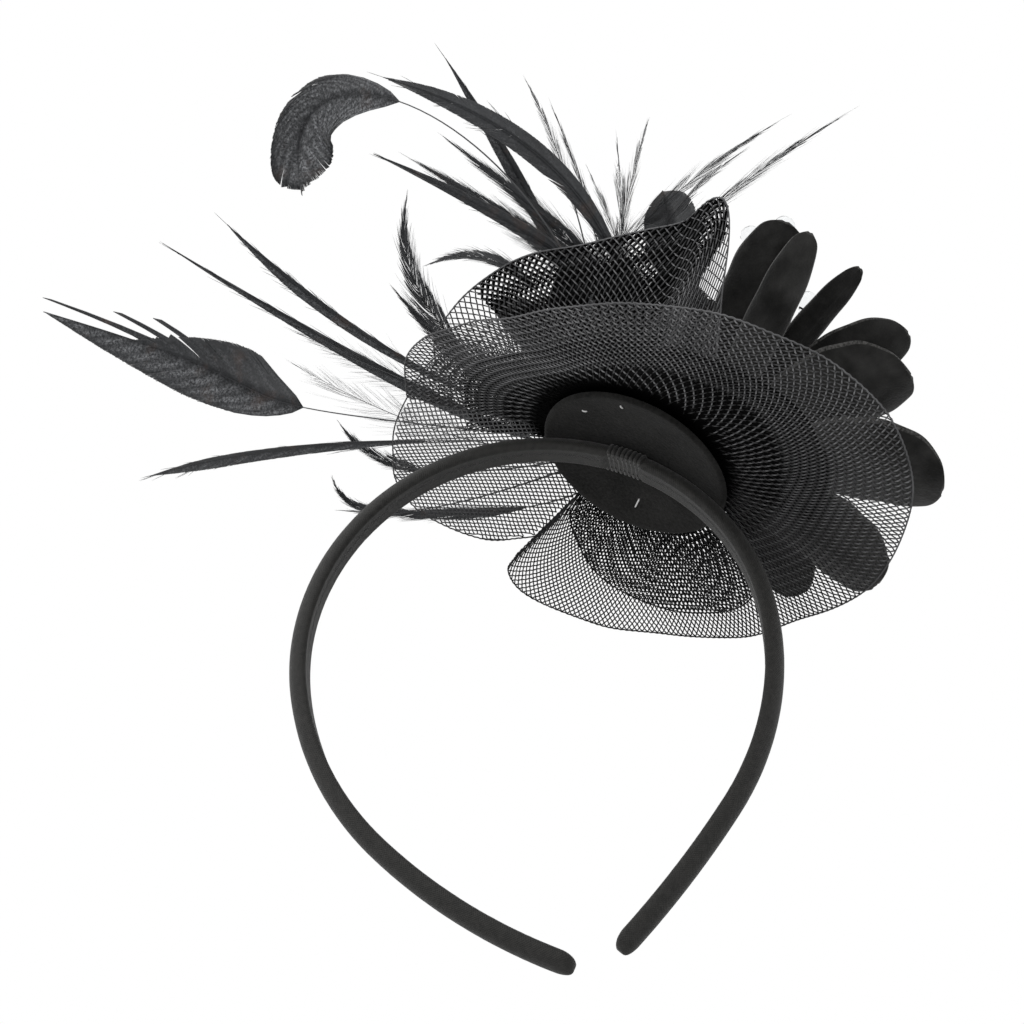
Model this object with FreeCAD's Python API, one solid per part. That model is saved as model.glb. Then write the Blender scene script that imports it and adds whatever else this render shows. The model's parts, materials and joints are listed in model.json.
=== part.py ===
import FreeCAD, Part

import math
import os

Vec = FreeCAD.Vector
os.makedirs("parts", exist_ok=True)

# Fascinator headpiece on a hair band. Millimetres, +Z towards the crown of the head.
# The hoop lies in the XZ plane, centred on its upper half circle. The trimming leans away from -Y.

# ---- Driving dimensions: hair band ----
crown_radius = 60.0  # inner face, upper half circle
side_radius = 75.0  # inner face, below the half circle
side_sweep = (41.5, 37.0)  # degrees of that arc, on the right (+X) and the left
arm_radius = (264.0, 141.0)  # inner face, down to the tips
arm_sweep = (9.8, 23.5)
band_width = 7.6
band_thickness = 3.8
edge_radius = 0.9
core_width = 5.0
core_thickness = 1.2
core_slack = 0.1  # between the core strip and its sleeve, all round
sleeve_inner_wall = 0.9
core_end_gap = 4.0  # sleeve left beyond each end of the core

# ---- Driving dimensions: what holds the trimming to the band ----
seat_angle = 32.0  # from the crown towards +X
seat_tilt = 9.0  # of the disc about the band, away from -Y
fit_gap = 0.3
wrap_count = 8
wrap_thickness = 1.1
wrap_pitch = 1.3
wrap_slack = 0.1
wrap_inner_thickness = 0.5  # where the turns lie pressed into the sleeve, flush with its inner face
wrap_inner_corner = 0.2
disc_radius = 27.3
disc_thickness = 2.4
disc_sag = 4.28  # rim below the centre
disc_slide = 1.6  # degrees that the felt is slid round its own dish
slide_axis = (-0.3, 1, 0)
pad_thickness = 1.2
pad_shift = 4.0
stitch_radius = 0.35
stitch_length = 4.0
stitch_drop = 0.1  # from the felt down to the thread

# ---- Driving dimensions: crin ----
crin_thickness = 0.7
crin_inner_radius = 20.0
pad_margin = 0.5  # from the pad's radius out to the crin's foot
crin_step = 1.1  # from one layer to the next
crin_waist = 0.2  # share of the way out where a fan still lies on the disc
crin_belly = 0.6  # share of the way out where it bulges most
crin_rise = 0.4  # kept over the disc at the waist
cup_start = 182.0  # degrees
cup_gather = 0.88  # the cup's foot is narrower than its rim
cup_bulge = 3.0

# ---- Driving dimensions: flower and feathers ----
petal_thickness = 0.7
petal_outline = ((0.0, 0.12), (0.18, 0.48), (0.38, 0.86), (0.6, 1.0), (0.82, 0.9), (0.95, 0.58), (1.0, 0.2))
calyx_radius = 5.0
calyx_height = 9.0
flower_shift = 18.0
drop_radius = 3.0
stem_radius = 0.4
drop_gather = 0.16  # how close together the stems stand at their foot
collar_radius = 6.4
collar_height = 3.6
collar_place = (-2.0, 4.0)
quill_width = 0.9
vane_outline = ((0.25, 0.8), (0.5, 1), (0.78, 0.9), (0.94, 0.6), (1.0, 0.12))
vane_faces = (0, -0.8, -0.6)  # the way that the broad side looks
quill_taper = 0.6

# ---- Values that follow ----
wrap_top = band_thickness + wrap_slack + wrap_thickness
disc_floor = wrap_top + fit_gap
disc_sphere = (disc_radius**2 + disc_sag**2) / (2 * disc_sag)
disc_top = disc_floor + disc_thickness
crin_drop = disc_sphere - math.sqrt(disc_sphere**2 - crin_inner_radius**2)
crin_floor = disc_top - crin_drop + fit_gap
pad_radius = crin_inner_radius - pad_margin
pad_floor = max(disc_top, crin_floor + crin_step + crin_thickness) + fit_gap
pad_top = pad_floor + pad_thickness
trim_floor = pad_top + fit_gap


def save(name, shape):
    """Write one sub-part and say how big it is."""
    shape.exportStep("parts/" + name + ".step")
    print(name, len(shape.Solids), "solid(s)", round(shape.Volume, 1), "mm3", shape.isValid())


def seat(shape):
    """Carry a shape from the trimming's axes (x along the band, z outwards) to its seat on the band."""
    tilt = FreeCAD.Placement(Vec(0, 0, 0), FreeCAD.Rotation(Vec(1, 0, 0), -seat_tilt))
    lift = FreeCAD.Placement(Vec(0, 0, crown_radius), FreeCAD.Rotation())
    turn = FreeCAD.Placement(Vec(0, 0, 0), FreeCAD.Rotation(Vec(0, 1, 0), seat_angle))
    moved = shape.copy()
    moved.Placement = turn.multiply(lift).multiply(tilt)
    return moved


def unit(vector):
    return vector * (1.0 / vector.Length)


# ---- Hair band ----
def dome_face(width, thickness, corner, base):
    """A D section in the XZ plane at the crown: flat side at z = base, dome outwards."""
    half = width / 2
    bend = corner * (1 - math.sqrt(0.5))
    low_left = Vec(0, -half + corner, base)
    low_right = Vec(0, half - corner, base)
    right = Vec(0, half, base + corner)
    left = Vec(0, -half, base + corner)
    edges = [
        Part.LineSegment(low_left, low_right).toShape(),
        Part.Arc(low_right, Vec(0, half - bend, base + bend), right).toShape(),
        Part.Arc(right, Vec(0, 0, base + thickness), left).toShape(),
        Part.Arc(left, Vec(0, -half + bend, base + bend), low_left).toShape(),
    ]
    return Part.Face(Part.Wire(edges))


def strip_face(width, thickness, base):
    half = width / 2
    corners = [(-half, 0), (half, 0), (half, thickness), (-half, thickness)]
    points = [Vec(0, y, base + z) for y, z in corners]
    return Part.Face(Part.makePolygon(points + points[:1]))


def along_hoop(face, end_cut=0.0):
    """Sweep a face, drawn at the crown, round the hoop: the half circle, then two arcs on each side."""
    axis = Vec(0, 1, 0)
    start = face.copy()
    start.rotate(Vec(0, 0, 0), axis, -90)
    pieces = [start.revolve(Vec(0, 0, 0), axis, 180)]
    for side, around, arm, last in zip((1, -1), side_sweep, arm_radius, arm_sweep):
        heading = 90.0
        centre = Vec(0, 0, 0)
        radius = crown_radius
        arcs = [(side_radius, around), (arm, last - math.degrees(end_cut / arm))]
        for next_radius, sweep in arcs:
            angle = math.radians(heading)
            centre = centre + Vec(side * math.sin(angle), 0, math.cos(angle)) * (radius - next_radius)
            radius = next_radius
            section = face.copy()
            section.translate(centre + Vec(0, 0, radius - crown_radius))
            section.rotate(centre, axis, side * heading)
            pieces.append(section.revolve(centre, axis, side * sweep))
            heading += sweep
    return pieces[0].fuse(pieces[1:]).removeSplitter()


def tip_cutter(side, around, arm, last):
    """What is taken off a tip to leave a rounded tongue: a block less a cylinder across the band."""
    heading = 90.0 + around
    first = math.radians(90.0)
    second = math.radians(heading)
    centre = Vec(side * math.sin(first), 0, math.cos(first)) * (crown_radius - side_radius)
    centre = centre + Vec(side * math.sin(second), 0, math.cos(second)) * (side_radius - arm)
    round_off = math.degrees(band_width / 2 / arm)
    block = Part.makeBox(band_width, 2 * band_width, 3 * band_thickness)
    block.translate(Vec(0, -band_width, arm - band_thickness))
    tongue = Part.makeCylinder(band_width / 2, 3 * band_thickness, Vec(0, 0, arm - band_thickness))
    cutter = block.cut(tongue)
    if side < 0:
        cutter.rotate(Vec(0, 0, 0), Vec(0, 0, 1), 180)
    cutter.translate(centre)
    cutter.rotate(centre, Vec(0, 1, 0), side * (heading + last - round_off))
    return cutter


def headband():
    skin = along_hoop(dome_face(band_width, band_thickness, edge_radius, crown_radius))
    for arm_values in zip((1, -1), side_sweep, arm_radius, arm_sweep):
        skin = skin.cut(tip_cutter(*arm_values))
    core_base = crown_radius + sleeve_inner_wall + core_slack
    room = strip_face(core_width + 2 * core_slack, core_thickness + 2 * core_slack, core_base - core_slack)
    sleeve = skin.cut(along_hoop(room, core_end_gap - core_slack)).cut(wrap_groove())
    core = along_hoop(strip_face(core_width, core_thickness, core_base), core_end_gap)
    save("headband_core", core)
    save("headband_cover", sleeve)


def wrap_sector(face, place, length):
    """Revolve a face, drawn at the crown, for a length of the band, place being its middle from the seat."""
    axis = Vec(0, 1, 0)
    middle = crown_radius + band_thickness / 2
    start = face.copy()
    start.rotate(Vec(0, 0, 0), axis, seat_angle + math.degrees((place - length / 2) / middle))
    return start.revolve(Vec(0, 0, 0), axis, math.degrees(length / middle))


def wrap_groove():
    """What is taken off the sleeve's inner face to let the turns lie flush."""
    depth = wrap_inner_thickness + 2 * wrap_slack
    face = strip_face(2 * band_width, depth, crown_radius - wrap_slack)
    return wrap_sector(face, 0, wrap_count * wrap_pitch + 2 * wrap_slack)


def binding_wraps():
    """Turns of cord side by side round the band, under the middle of the disc."""
    room_width = band_width + 2 * wrap_slack
    room_base = crown_radius + wrap_inner_thickness
    room_thickness = band_thickness + wrap_slack - wrap_inner_thickness
    room = dome_face(room_width, room_thickness, wrap_inner_corner, room_base)
    outer_width = room_width + 2 * wrap_thickness
    outer = dome_face(outer_width, wrap_top, edge_radius + wrap_slack + wrap_thickness, crown_radius)
    section = outer.cut(room).Faces[0]
    places = [(index - (wrap_count - 1) / 2) * wrap_pitch for index in range(wrap_count)]
    rings = [wrap_sector(section, place, wrap_thickness) for place in places]
    save("binding_wraps", Part.makeCompound(rings))


# ---- Felt ----
def dished_disc(radius, thickness, floor, sphere):
    """A round felt with a gentle dish, rim towards the head."""
    edge = floor - sphere + math.sqrt(sphere**2 - radius**2)
    half_drop = floor - sphere + math.sqrt(sphere**2 - (radius / 2) ** 2)
    lower = Part.Arc(Vec(0, 0, floor), Vec(radius / 2, 0, half_drop), Vec(radius, 0, edge)).toShape()
    rim = Part.LineSegment(Vec(radius, 0, edge), Vec(radius, 0, edge + thickness)).toShape()
    top_end = Vec(0, 0, floor + thickness)
    half_top = Vec(radius / 2, 0, half_drop + thickness)
    upper = Part.Arc(Vec(radius, 0, edge + thickness), half_top, top_end).toShape()
    middle = Part.LineSegment(top_end, Vec(0, 0, floor)).toShape()
    face = Part.Face(Part.Wire([lower, rim, upper, middle]))
    return face.revolve(Vec(0, 0, 0), Vec(0, 0, 1), 360)


def stitch(x, y, heading):
    """One long stitch lying under the felt."""
    radius = math.hypot(x, y)
    reach = radius + stitch_length / 2
    surface = disc_floor - disc_sphere + math.sqrt(disc_sphere**2 - reach**2)
    angle = math.radians(heading)
    along = Vec(math.cos(angle), math.sin(angle), 0)
    start = Vec(x, y, surface - stitch_radius - stitch_drop) - along * (stitch_length / 2)
    return Part.makeCylinder(stitch_radius, stitch_length, start, along)


def felt():
    disc = dished_disc(disc_radius, disc_thickness, disc_floor, disc_sphere)
    save("felt_disc", seat(disc.rotated(Vec(0, 0, disc_floor - disc_sphere), Vec(*slide_axis), disc_slide)))
    pad = Part.makeCylinder(pad_radius, pad_thickness, Vec(pad_shift, 0, pad_floor))
    save("felt_pad", seat(pad))
    places = [(3.0, 18.8, 105.0), (-12.7, -13.9, 20.0), (-1.7, -21.4, 60.0)]
    save("disc_stitches", seat(Part.makeCompound([stitch(*place) for place in places])))


# ---- Sheets that are lofted from row to row ----
def loft_rows(rows):
    wires = [Part.makePolygon(row + row[:1]) for row in rows]
    return Part.makeLoft(wires, True, True)


def polar(radius, degrees, height):
    angle = math.radians(degrees)
    return Vec(radius * math.cos(angle), radius * math.sin(angle), height)


def crin_fan(name, rim, layer, gather=1.0, bulge=0.0):
    """A fan of crin from its foot on the disc out to its rim, given as (degrees, radius, height)."""
    foot_radius = crin_inner_radius + layer
    foot_height = crin_floor + layer * crin_step
    feet = []
    for degrees, *_ in rim:
        foot_degrees = rim[0][0] + (degrees - rim[0][0]) * gather
        feet.append(polar(foot_radius, foot_degrees, foot_height))
    rims = [polar(radius, degrees, height) for degrees, radius, height in rim]
    rows = []
    for index in range(len(rim)):
        ahead = rims[min(index + 1, len(rim) - 1)]
        behind = rims[max(index - 1, 0)]
        across = rims[index] - feet[index]
        face_out = unit(across.cross(ahead - behind))
        if face_out.z < 0:
            face_out = face_out * -1
        waist = feet[index] + across * crin_waist
        rest = disc_top + fit_gap + layer * crin_step + crin_rise
        sink = disc_sphere - math.sqrt(max(disc_sphere**2 - waist.x**2 - waist.y**2, 0))
        waist = waist + face_out * max(0.0, rest - sink - waist.z)
        belly = feet[index] + across * crin_belly + face_out * bulge
        line = [feet[index], waist, belly, rims[index]]
        above = [point + face_out * crin_thickness for point in reversed(line)]
        rows.append(line + above)
    save(name, seat(loft_rows(rows)))


def crin():
    saucer = [
        (-184, 67, 2), (-170, 67, 2), (-157, 64, 1), (-140, 60, -2), (-123, 59, -4), (-106, 63, -5),
        (-89, 70, -5), (-76, 78, -4), (-64, 84, -4), (-47, 90, -2), (-34, 88, -1), (-21, 84, 0),
        (-6, 78, 0), (12, 73, -2), (34, 66, -4), (55, 67, -4), (70, 68, -4), (84, 71, -4),
        (96, 75, -4), (106, 78, -4), (114, 78, -4), (119, 72, -4), (121, 62, -4),
    ]
    crin_fan("crin_saucer", saucer, 0)
    left_lobe = [
        (120.5, 54, 0), (123, 61, 0), (127, 69, -1), (131, 75, -1), (136, 80, -1), (142, 85, -1),
        (149, 84, -1), (157, 78, -1), (166, 73, 0), (178, 66, 4), (192, 60, 5), (206, 55, 5),
    ]
    crin_fan("crin_left_lobe", left_lobe, 1)
    fold = [
        (24, 42, 4), (40, 53, 3), (56, 61, 1), (72, 62, 0),
        (88, 60, 0), (100, 56, 1), (110, 48, 3), (118, 38, 4),
    ]
    crin_fan("crin_lower_fold", fold, 1)
    cup = [
        (cup_start, 62, 11), (188, 64, 15), (196, 62, 22), (208, 58, 28), (220, 54, 32), (232, 49, 36),
        (243, 48, 38), (256, 49, 41), (268, 52, 44), (278, 62, 46), (289, 45, 30), (300, 38, 16),
    ]
    crin_fan("crin_cup", cup, 2, cup_gather, cup_bulge)


# ---- Flower ----
def petal(name, heading, level, tip, width, bulge, cup):
    """A cupped petal from the calyx to its tip, cup being how far its edges stand up."""
    root = polar(calyx_radius + fit_gap + petal_thickness, heading, trim_floor + level)
    root = root + Vec(flower_shift, 0, 0)
    end = Vec(*tip)
    bend = (root + end) * 0.5 + Vec(0, 0, bulge)
    rows = []
    for place, share in petal_outline:
        middle = root * (1 - place) ** 2 + bend * (2 * place * (1 - place)) + end * place**2
        along = unit((bend - root) * (1 - place) + (end - bend) * place)
        side = unit(Vec(0, 0, 1).cross(along))
        inwards = unit(along.cross(side))
        line = []
        for across in (-1, -0.5, 0, 0.5, 1):
            raised = inwards * (cup * (share * across) ** 2)
            line.append(middle + side * (width / 2 * share * across) + raised)
        rows.append(line + [point + inwards * petal_thickness for point in reversed(line)])
    save(name, seat(loft_rows(rows)))


def flower():
    calyx = Part.makeCylinder(calyx_radius, calyx_height, Vec(flower_shift, 0, trim_floor))
    save("flower_calyx", seat(calyx))
    outer = [
        ("petal_right", -1, 1.4, (81, 5, 29), 34, 4, 5),
        ("petal_right_upper", -22, 2.8, (65, -22, 42), 28, 3, 5),
        ("petal_right_lower", 36, 0.8, (71, 30, 10), 31, 2, 4),
        ("petal_lower", 58, 2.8, (46, 57, 16), 22, 7, 4),
        ("petal_back", 106, 0.8, (8, 54, 25), 22, 4, 5),
        ("petal_back_left", 134, 2.8, (-14, 34, 34), 20, 5, 5),
        ("petal_top_right", -34, 4.6, (60, -24, 54), 20, 4, 3),
        ("petal_top_narrow", -50, 7.8, (44, -41, 56), 8, 2, 2),
        ("petal_top", -98, 2.8, (22, -49, 57), 20, 0, 4),
        ("petal_top_fold", -80, 0.8, (31, -55, 50), 11, 0, 3),
        ("petal_left", -140, 4.8, (2, -22, 46), 17, 2, 4),
    ]
    for petal_values in outer:
        petal(*petal_values)
    heart = [
        ("petal_heart_front", -166, (6, -5, 46)),
        ("petal_heart_right", -20, (36, -3, 46)),
        ("petal_heart_back", 100, (16, 17, 45)),
    ]
    for name, heading, tip in heart:
        petal(name, heading, 6.6, tip, 14, 0, 5)
    drops = []
    calyx_top = trim_floor + calyx_height + fit_gap
    for x, y, height in ((10, -30, 66), (17, -30, 73), (24, -30, 66), (30, -20, 58), (16, -19, 60)):
        centre = Vec(x, y, height)
        foot = Vec(flower_shift + (x - flower_shift) * drop_gather, y * drop_gather, calyx_top)
        reach = centre - foot
        stem = Part.makeCylinder(stem_radius, reach.Length, foot, reach)
        drops.append(stem.fuse(Part.makeSphere(drop_radius, centre)))
    save("flower_drops", seat(Part.makeCompound(drops)))


# ---- Feathers ----
def feather(name, ring, bend, tip, vane_start, vane_width, second_bend=None):
    """One feather: a bare quill from the collar, then a vane up to the tip. Ring 1 is above ring 0."""
    centre = Vec(collar_place[0], collar_place[1], 0)
    away = Vec(bend[0], bend[1], 0) - centre
    reach = collar_radius + fit_gap + quill_width / 2
    lift = trim_floor + quill_width * (1 + 1.5 * ring)
    root = centre + unit(away) * reach + Vec(0, 0, lift)
    guides = [root, Vec(*bend), Vec(*tip)]
    if second_bend:
        guides.insert(2, Vec(*second_bend))
    curve = Part.BezierCurve()
    curve.setPoles(guides)
    broad_side = unit(Vec(*vane_faces))
    stations = [(0, 0), (vane_start / 2, 0), (vane_start, 0)]
    for place, share in vane_outline:
        stations.append((vane_start + (1 - vane_start) * place, share))
    rows = []
    for place, share in stations:
        middle = curve.value(place)
        along = unit(curve.tangent(place)[0])
        side = unit(along.cross(broad_side))
        up = unit(side.cross(along))
        thick = quill_width / 2 * (1 - quill_taper * place)
        half = max(thick, vane_width / 2 * share)
        corners = (side * -half, up * -thick, side * half, up * thick)
        rows.append([middle + corner for corner in corners])
    save(name, seat(loft_rows(rows)))


def feathers():
    collar = Part.makeCylinder(collar_radius, collar_height, Vec(*collar_place, trim_floor))
    save("feather_collar", seat(collar))
    feather("feather_goose", 0, (-175, 61, 8), (-208, 48, 20), 0.42, 20, (-86, 39, 20))
    feather("feather_stripped", 0, (-109, 49, 11), (-174, 104, 10), 0.3, 3.5)
    feather("feather_biot_long", 0, (-40, 49, 24), (-168, 19, 38), 0.3, 3)
    feather("feather_biot_short", 1, (-82, 33, 24), (-147, 5, 42), 0.3, 3)
    feather("feather_curled", 1, (-37, -82, 52), (-128, -4, 56), 0.6, 18, (-163, -23, 103))
    feather("feather_sickle", 1, (-7, -67, 49), (-105, -43, 72), 0.45, 5)
    feather("feather_pointed", 1, (-30, -8, 52), (-91, -45, 84), 0.4, 4)
    feather("feather_swept_low", 0, (16, -30, 38), (-99, -33, 52), 0.45, 4)
    feather("feather_swept_middle", 0, (10, -13, 41), (-79, -33, 64), 0.45, 4)
    feather("feather_swept_high", 0, (7, -20, 39), (-88, -28, 58), 0.45, 4)
    feather("feather_tall", 1, (-36, -38, 58), (-68, -42, 88), 0.5, 2.5)
    feather("feather_tall_small", 1, (-14, 0, 48), (-58, -39, 84), 0.5, 2)
    feather("feather_upright_left", 1, (-10, -14, 45), (-42, -28, 74), 0.5, 2.5)
    feather("feather_upright_middle", 1, (-20, -31, 48), (-36, -38, 80), 0.5, 2.5)
    feather("feather_upright_right", 1, (-28, -20, 51), (-29, -42, 86), 0.5, 2.5)
    feather("feather_round", 0, (1, -35, 45), (-18, -33, 70), 0.5, 14)
    feather("feather_wisp_long", 0, (-39, -8, 45), (26, -64, 84), 0.5, 3)
    feather("feather_wisp_middle", 0, (-55, -4, 43), (10, -60, 80), 0.5, 3)
    feather("feather_wisp_short", 0, (-26, -34, 40), (3, -51, 76), 0.5, 3)
    feather("feather_hackle", 0, (-88, 15, 28), (-90, -18, 52), 0.45, 6)
    feather("feather_hackle_small", 1, (-57, 28, 28), (-88, 6, 38), 0.5, 4)
    feather("feather_plume", 1, (-44, -38, 42), (-81, -1, 46), 0.5, 4)
    feather("feather_fluff_long", 0, (-69, 32, 24), (-119, 28, 30), 0.5, 6)
    feather("feather_fluff_short", 0, (-53, 42, 12), (-116, 30, 19), 0.5, 7)
    feather("feather_low_upper", 0, (-84, 76, 14), (-97, 42, 12), 0.5, 3)
    feather("feather_low_middle", 0, (-92, 94, 4), (-100, 67, 8), 0.5, 3)
    feather("feather_low_lower", 0, (-18, 51, 11), (-96, 80, 8), 0.5, 3)
    feather("feather_pad_left", 0, (-26, -13, 26), (-55, -8, 34), 0.35, 11)
    feather("feather_pad_upper", 0, (-17, -17, 16), (-33, -31, 37), 0.3, 13)
    feather("feather_pad_middle", 0, (-10, -20, 14), (-16, -37, 39), 0.3, 14)
    feather("feather_pad_right", 0, (-1, -21, 19), (2, -40, 43), 0.3, 15)


headband()
binding_wraps()
felt()
crin()
flower()
feathers()
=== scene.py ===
import json
import math

import bpy
import numpy as np
from mathutils import Matrix, Quaternion, Vector


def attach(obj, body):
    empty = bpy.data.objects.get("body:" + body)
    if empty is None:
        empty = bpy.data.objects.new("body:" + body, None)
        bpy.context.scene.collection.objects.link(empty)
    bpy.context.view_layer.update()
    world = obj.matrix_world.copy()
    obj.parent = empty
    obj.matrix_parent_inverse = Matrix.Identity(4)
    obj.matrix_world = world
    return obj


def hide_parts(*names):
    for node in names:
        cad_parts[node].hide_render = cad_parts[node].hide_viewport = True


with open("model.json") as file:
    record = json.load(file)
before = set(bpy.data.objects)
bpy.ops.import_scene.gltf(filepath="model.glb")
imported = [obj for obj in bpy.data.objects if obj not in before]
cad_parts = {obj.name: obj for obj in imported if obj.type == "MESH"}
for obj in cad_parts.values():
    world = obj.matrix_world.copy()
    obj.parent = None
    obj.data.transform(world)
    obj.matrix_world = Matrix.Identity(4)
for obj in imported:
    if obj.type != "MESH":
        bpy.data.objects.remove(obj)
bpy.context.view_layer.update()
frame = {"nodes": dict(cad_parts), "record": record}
bpy.ops.object.select_all(action="DESELECT")
scene = bpy.context.scene
mm = 0.001

# %% [markdown]
# ## Camera
# The headpiece is looked at from below, as it hangs: the camera stands under it and in front, and is rolled
# a little. A long lens at arm's length keeps the hoop's curve true. It could be aimed with a constraint,
# but a direction worked out from two angles is plain to read and stays put.
# %% Camera
def direction(azimuth, elevation):
    """A unit vector. Azimuth turns from -Y towards +X, and both are in degrees."""
    a, e = math.radians(azimuth), math.radians(elevation)
    return Vector((math.sin(a) * math.cos(e), -math.cos(a) * math.cos(e), math.sin(e)))


camera_target = Vector((0.12, 0.0, 42.65)) * mm
camera_distance = 600.6 * mm
camera_roll = math.radians(-9.0)
towards_camera = direction(1.27, -29.31)
camera = bpy.data.objects.new("camera", bpy.data.cameras.new("camera"))
scene.collection.objects.link(camera)
camera.location = camera_target + towards_camera * camera_distance
camera.rotation_mode = "QUATERNION"
level = (-towards_camera).to_track_quat("-Z", "Y")
camera.rotation_quaternion = level @ Quaternion((0, 0, 1), camera_roll)
camera.data.lens = 78.4
camera.data.sensor_width = 36.0
camera.data.clip_start = 0.01
scene.camera = camera
scene.view_settings.view_transform = "Standard"
print("camera at", [round(x, 3) for x in camera.location])

# %% [markdown]
# ## Nodes
# The world, the materials and the finishes that they share are all built from nodes. These helpers put each
# node on one line with its links, so a finish reads from its first texture to its shader.
# %% Node helpers
def add_node(tree, kind, **settings):
    """A new node. A setting names a property, or an input that takes a value or the socket to link to it."""
    node = tree.nodes.new("ShaderNode" + kind)
    for key, value in settings.items():
        if hasattr(node, key):
            setattr(node, key, value)
        elif isinstance(value, bpy.types.NodeSocket):
            tree.links.new(value, node.inputs[key.replace("_", " ")])
        else:
            node.inputs[key.replace("_", " ")].default_value = value
    return node


def maths(tree, operation, first, second=None):
    """first and second are sockets or numbers."""
    node = tree.nodes.new("ShaderNodeMath")
    node.operation = operation
    for index, value in enumerate((first, second)):
        if isinstance(value, (int, float)):
            node.inputs[index].default_value = value
        elif value is not None:
            tree.links.new(value, node.inputs[index])
    return node.outputs[0]


def new_group(name, inputs, outputs):
    group = bpy.data.node_groups.new(name, "ShaderNodeTree")
    for socket, kind, value in inputs:
        made = group.interface.new_socket(socket, in_out="INPUT", socket_type=kind)
        if value is not None:
            made.default_value = value
    for socket in outputs:
        group.interface.new_socket(socket, in_out="OUTPUT", socket_type="NodeSocketFloat")
    return group, group.nodes.new("NodeGroupInput"), group.nodes.new("NodeGroupOutput")


print("node helpers ready")

# %% [markdown]
# ## Studio
# Black goods are shown by the light that they throw back, so big soft lamps stand near the camera and the
# room is evenly grey. The pale floor lies well below. The world is white only to the camera, to gloss and
# through clear pieces, which gives a white ground without more light on the black cloth.
# %% Studio light and floor
world = bpy.data.worlds.new("studio")
scene.world = world
world.use_nodes = True
sky = world.node_tree
sky.nodes.clear()
path = add_node(sky, "LightPath")
seen = maths(sky, "MAXIMUM", path.outputs["Is Camera Ray"], path.outputs["Is Glossy Ray"])
through = maths(sky, "MAXIMUM", seen, path.outputs["Is Transmission Ray"])
room = add_node(sky, "Background", Color=(1, 1, 1, 1), Strength=0.5)
white = add_node(sky, "Background", Color=(1, 1, 1, 1), Strength=1.0)
choice = add_node(sky, "MixShader", Fac=through)
sky.links.new(room.outputs[0], choice.inputs[1])
sky.links.new(white.outputs[0], choice.inputs[2])
add_node(sky, "OutputWorld", Surface=choice.outputs[0])


def soft_lamp(name, azimuth, elevation, distance, size, watts):
    """A square lamp that faces the headpiece."""
    lamp = bpy.data.objects.new(name, bpy.data.lights.new(name, "AREA"))
    away = direction(azimuth, elevation)
    lamp.location = camera_target + away * distance
    lamp.rotation_mode = "QUATERNION"
    lamp.rotation_quaternion = (-away).to_track_quat("-Z", "Y")
    lamp.data.size = size
    lamp.data.energy = watts
    scene.collection.objects.link(lamp)


soft_lamp("key_lamp", -38, 8, 1.3, 0.9, 4.0)
soft_lamp("low_lamp", 25, -62, 1.4, 0.7, 4.0)
soft_lamp("top_lamp", 20, 72, 1.4, 1.2, 4.0)
floor_level = -0.62
bpy.ops.mesh.primitive_circle_add(vertices=64, radius=4.0, fill_type="NGON", location=(0, 0, floor_level))
floor = bpy.context.object
floor.name = "floor"

# %% [markdown]
# ## Shared finishes
# Woven cloth, brushed nap and uneven dye each turn up on several pieces. Each is a node group, built once,
# that gives heights and masks. The shader itself stays in each material, with its own numbers.
# %% The groups: woven cloth, nap and dye
vector, number = "NodeSocketVector", "NodeSocketFloat"
woven, inlet, outlet = new_group(
    "woven_cloth", [("Vector", vector, None), ("Thread", number, 0.0004)], ["Height"]
)
parts = add_node(woven, "SeparateXYZ", Vector=inlet.outputs["Vector"])
crossings = maths(woven, "DIVIDE", math.pi, inlet.outputs["Thread"])
warp = maths(woven, "SINE", maths(woven, "MULTIPLY", parts.outputs["X"], crossings))
weft = maths(woven, "SINE", maths(woven, "MULTIPLY", parts.outputs["Y"], crossings))
woven.links.new(maths(woven, "MULTIPLY", warp, weft), outlet.inputs["Height"])

nap, inlet, outlet = new_group(
    "nap", [("Vector", vector, None), ("Scale", number, 900.0)], ["Height", "Tint"]
)
place, scale = inlet.outputs["Vector"], inlet.outputs["Scale"]
fibres = add_node(nap, "TexNoise", Detail=4.0, Roughness=0.7, Vector=place, Scale=scale)
tufts = add_node(nap, "TexNoise", Detail=2.0, Vector=place, Scale=maths(nap, "MULTIPLY", scale, 0.22))
nap.links.new(maths(nap, "ADD", fibres.outputs["Fac"], tufts.outputs["Fac"]), outlet.inputs["Height"])
spread = add_node(nap, "MapRange", From_Min=0.35, From_Max=0.65, Value=fibres.outputs["Fac"])
nap.links.new(spread.outputs[0], outlet.inputs["Tint"])

dye, inlet, outlet = new_group(
    "dye_patches", [("Vector", vector, None), ("Scale", number, 40.0), ("Start", number, 0.5)], ["Patch"]
)
place, scale = inlet.outputs["Vector"], inlet.outputs["Scale"]
cloud = add_node(dye, "TexNoise", Detail=3.0, Roughness=0.6, Vector=place, Scale=scale)
patch = add_node(dye, "MapRange", From_Max=0.75, Value=cloud.outputs["Fac"], From_Min=inlet.outputs["Start"])
dye.links.new(patch.outputs[0], outlet.inputs["Patch"])
print("groups:", [g.name for g in bpy.data.node_groups])


# %% [markdown]
# ## Materials
# Everything but the steel, the stitches and the drops is dyed black, so the finishes differ in gloss and
# nap more than in colour: drawn cloth on the band, matt felt, velvet with a pale cut edge that also
# carries a painted highlight line, nylon with a painted highlight where a thread lies on top and painted
# shade elsewhere, and horny feather barbs that show brown where they are thin, some with a painted sheen.
# %% Material helpers
def finish(name, roughness, specular, **constants):
    """A material with a Principled shader. Returns it with its tree and shader."""
    material = bpy.data.materials.new(name)
    material.use_nodes = True
    tree = material.node_tree
    shader = tree.nodes["Principled BSDF"]
    shader.inputs["Roughness"].default_value = roughness
    shader.inputs["Specular IOR Level"].default_value = specular
    for key, value in constants.items():
        shader.inputs[key.replace("_", " ")].default_value = value
    return material, tree, shader


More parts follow.
